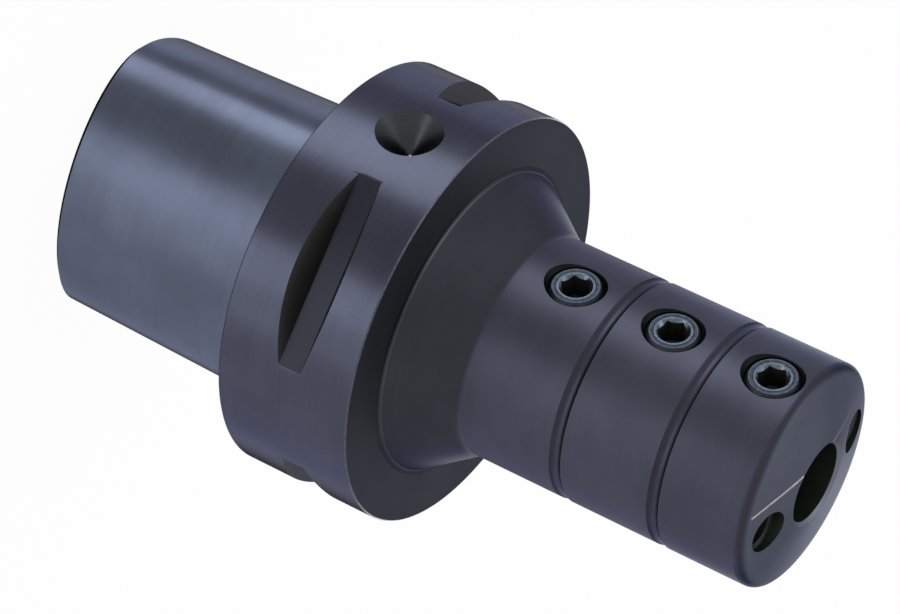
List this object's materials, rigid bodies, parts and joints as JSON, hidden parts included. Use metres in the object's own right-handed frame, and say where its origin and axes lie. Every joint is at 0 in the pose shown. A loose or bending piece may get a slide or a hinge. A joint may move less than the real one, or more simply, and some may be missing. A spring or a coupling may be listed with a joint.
{
  "type": "modular tool holder",
  "caption": "Tool holder with a polygon taper shank, a gripper flange and a long nose whose bore is side-locked by set screws, with plugged coolant holes in its face.",
  "frame": {"origin": "centre of the flange's contact face, on the shank's axis", "axes": "+Z along the axis toward the nose, +X toward the clamp screws, coolant holes on +Y and -Y"},
  "size_m": [0.063, 0.063, 0.1176],
  "materials": {
    "black_oxide_steel": "black oxide, satin",
    "black_screw_steel": "black oxide, bright edges",
    "seal_rubber": "matt"
  },
  "bodies": {
    "holder": {"holder_body": "black_oxide_steel"},
    "rear_clamp": {"clamp_screw_rear": "black_screw_steel"},
    "middle_clamp": {"clamp_screw_middle": "black_screw_steel"},
    "front_clamp": {"clamp_screw_front": "black_screw_steel"},
    "left_coolant_plug": {"coolant_plug_left": "black_screw_steel"},
    "right_coolant_plug": {"coolant_plug_right": "black_screw_steel"},
    "gallery_closure": {"gallery_plug": "black_screw_steel"},
    "stop_seal": {"stop_screw_seal": "seal_rubber"},
    "back_stop": {"stop_screw": "black_screw_steel"}
  },
  "joints": [
    {"name": "rear_clamp_travel", "type": "slide", "parent": "holder", "child": "rear_clamp", "axis": [1, 0, 0], "range_m": [-0.0014, 0.0104]},
    {"name": "middle_clamp_travel", "type": "slide", "parent": "holder", "child": "middle_clamp", "axis": [1, 0, 0], "range_m": [-0.0014, 0.0104]},
    {"name": "front_clamp_travel", "type": "slide", "parent": "holder", "child": "front_clamp", "axis": [1, 0, 0], "range_m": [-0.0014, 0.0104]},
    {"name": "left_coolant_plug_travel", "type": "slide", "parent": "holder", "child": "left_coolant_plug", "axis": [0, 0, 1], "range_m": [-0.001, 0.0089]},
    {"name": "right_coolant_plug_travel", "type": "slide", "parent": "holder", "child": "right_coolant_plug", "axis": [0, 0, 1], "range_m": [-0.001, 0.0089]},
    {"name": "gallery_plug_travel", "type": "slide", "parent": "holder", "child": "gallery_closure", "axis": [0, -1, 0], "range_m": [-0.0009, 0.008]},
    {"name": "back_stop_travel", "type": "slide", "parent": "holder", "child": "stop_seal", "axis": [0, 0, 1], "range_m": [-0.0025, 0.0024]},
    {"name": "back_stop_turn", "type": "hinge", "parent": "stop_seal", "child": "back_stop", "pos_m": [0, 0, 0.02905], "axis": [0, 0, 1], "range_deg": [-900, 864]}
  ],
  "couplings": [
    {"joint": "back_stop_turn", "follows": "back_stop_travel", "rad_per_m": 6283.2}
  ]
}
